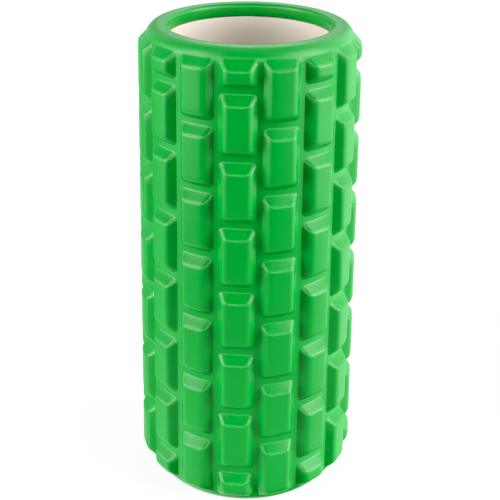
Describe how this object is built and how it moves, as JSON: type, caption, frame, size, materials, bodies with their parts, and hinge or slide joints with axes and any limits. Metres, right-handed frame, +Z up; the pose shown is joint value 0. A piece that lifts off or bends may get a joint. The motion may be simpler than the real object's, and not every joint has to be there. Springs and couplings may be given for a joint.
{
  "type": "foam massage roller",
  "caption": "Hollow cylindrical massage roller: a moulded foam sleeve with staggered raised rectangular pads over a rigid open tube, for rolling under feet, legs or back.",
  "frame": {"origin": "centre of the roller's lower end, where it stands on the floor", "axes": "+Z up along the roller's axis; -Y through the middle of a column of pads that starts and ends with a half pad"},
  "size_m": [0.142, 0.142, 0.3],
  "materials": {
    "foam": "satin moulded skin of closed-cell EVA foam",
    "tube": "smooth satin"
  },
  "bodies": {
    "root": {"foam_sleeve": "foam", "core_tube": "tube"}
  },
  "joints": []
}
